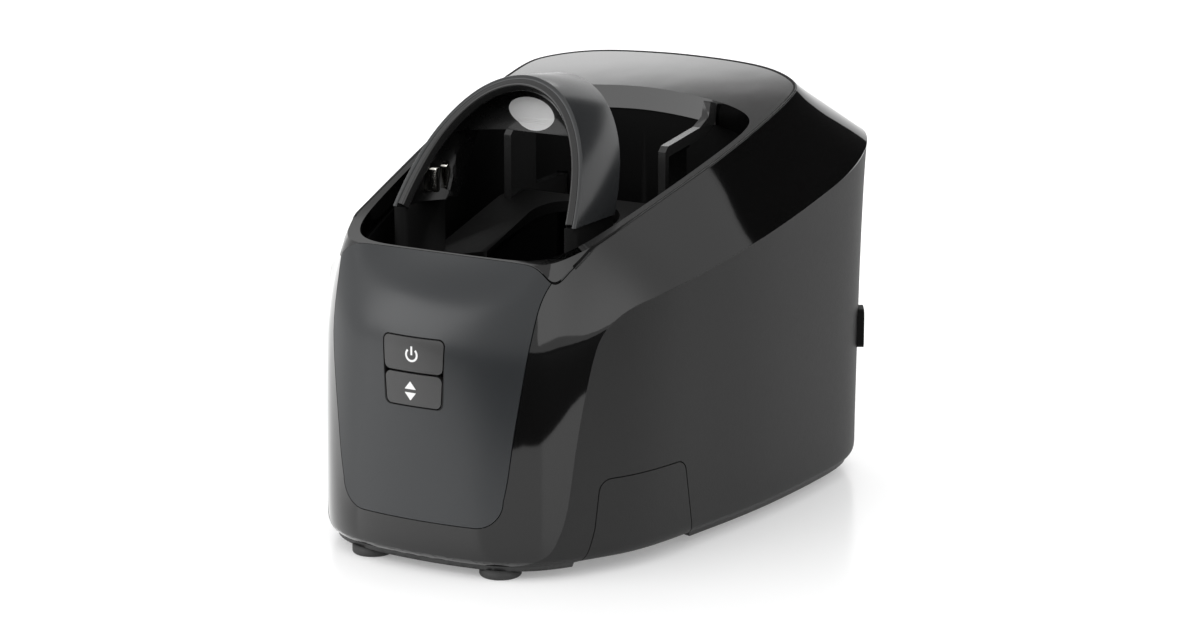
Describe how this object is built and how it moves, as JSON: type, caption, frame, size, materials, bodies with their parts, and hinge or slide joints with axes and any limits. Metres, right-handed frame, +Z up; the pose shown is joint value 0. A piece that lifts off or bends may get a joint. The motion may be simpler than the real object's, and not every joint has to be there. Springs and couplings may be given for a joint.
{
  "type": "shaver cleaning station",
  "caption": "Free-standing shaver cleaning station: sloping housing with a motor-raised arched holder in a well, front buttons, and a fluid chamber that releases with side tabs.",
  "frame": {"origin": "middle of the footprint on the surface that the feet stand on", "axes": "+Z up, front with the buttons towards -Y, +X to the right seen from the front"},
  "size_m": [0.1606, 0.2212, 0.1652],
  "materials": {
    "housing_black": "fine matte texture",
    "panel_graphite": "satin",
    "gloss_black": "high gloss",
    "inner_black": "matte",
    "button_black": "satin gloss",
    "board_green": "solder mask",
    "pin_metal": "bright",
    "rim_grey": "satin",
    "liner_grey": "satin",
    "arm_black": "gloss",
    "steel": "turned",
    "bracket_steel": "pressed sheet",
    "brass": "turned",
    "gear_white": "moulded acetal",
    "motor_can": "drawn can",
    "chamber_black": "matte",
    "seal_rubber": "matte",
    "spray_grey": "matte",
    "foot_rubber": "matte"
  },
  "bodies": {
    "chamber": {"chamber_tray": "chamber_black", "chamber_cover": "chamber_black", "splash_collar": "seal_rubber", "spray_plate": "spray_grey", "intake_strainer": "spray_grey", "foot_front_right": "foot_rubber", "foot_front_left": "foot_rubber", "foot_rear_right": "foot_rubber", "foot_rear_left": "foot_rubber", "tab_spring_right": "steel", "tab_spring_left": "steel"},
    "housing": {"main_housing": "housing_black", "front_panel": "panel_graphite", "top_cover": "gloss_black", "inner_well": "inner_black", "housing_floor": "inner_black", "housing_screws": "steel", "control_board": "board_green", "button_switches": "inner_black", "power_inlet": "inner_black", "inlet_pins": "pin_metal", "power_board": "board_green", "guide_rods": "steel", "rod_bracket": "bracket_steel", "motor_bracket": "bracket_steel", "lift_motor": "motor_can", "pump_motor": "motor_can"},
    "holder": {"holder_hood": "gloss_black", "holder_rim": "rim_grey", "holder_liner": "liner_grey", "holder_frame": "inner_black", "contact_pins": "pin_metal", "lift_arm_right": "arm_black", "lift_arm_left": "arm_black", "lift_carriage": "arm_black", "lift_nut": "brass", "carriage_bushes": "brass"},
    "lead_screw": {"lead_screw": "steel", "screw_gear": "gear_white"},
    "motor_pinion": {"motor_pinion": "brass"},
    "pump_impeller": {"pump_impeller": "gear_white"},
    "power_button": {"power_button": "button_black"},
    "lift_button": {"lift_button": "button_black"},
    "release_tab_right": {"release_tab_right": "housing_black"},
    "release_tab_left": {"release_tab_left": "housing_black"}
  },
  "joints": [
    {"name": "housing_lift_off", "type": "slide", "parent": "chamber", "child": "housing", "axis": [0, 0, 1], "range_m": [0, 0.07]},
    {"name": "holder_lowering", "type": "slide", "parent": "housing", "child": "holder", "axis": [0, 0, -1], "range_m": [0, 0.036]},
    {"name": "lead_screw_turn", "type": "hinge", "parent": "housing", "child": "lead_screw", "pos_m": [0, 0.077, 0.09], "axis": [0, 0, 1], "range_deg": [0, 1621]},
    {"name": "motor_pinion_turn", "type": "hinge", "parent": "housing", "child": "motor_pinion", "pos_m": [0.02239, 0.08855, 0.05], "axis": [0, 0, 1], "range_deg": [-5186, 0]},
    {"name": "pump_turn", "type": "hinge", "parent": "housing", "child": "pump_impeller", "pos_m": [-0.046, 0.0815, 0.02], "axis": [0, 0, 1], "continuous": true},
    {"name": "power_button_press", "type": "slide", "parent": "housing", "child": "power_button", "axis": [0, 1, 0], "range_m": [0, 0.0008], "stiffness_N_per_m": 800, "springref_m": -0.0015},
    {"name": "lift_button_press", "type": "slide", "parent": "housing", "child": "lift_button", "axis": [0, 1, 0], "range_m": [0, 0.0008], "stiffness_N_per_m": 800, "springref_m": -0.0015},
    {"name": "release_tab_right_press", "type": "slide", "parent": "chamber", "child": "release_tab_right", "axis": [-0.9483, 0.3173, 0], "range_m": [0, 0.0025], "stiffness_N_per_m": 1200, "springref_m": -0.003, "deforming": ["tab_spring_right"]},
    {"name": "release_tab_left_press", "type": "slide", "parent": "chamber", "child": "release_tab_left", "axis": [0.9483, 0.3173, 0], "range_m": [0, 0.0025], "stiffness_N_per_m": 1200, "springref_m": -0.003, "deforming": ["tab_spring_left"]}
  ],
  "couplings": [
    {"joint": "lead_screw_turn", "follows": "holder_lowering", "rad_per_m": 785.4},
    {"joint": "motor_pinion_turn", "follows": "holder_lowering", "rad_per_m": -2513.3}
  ]
}
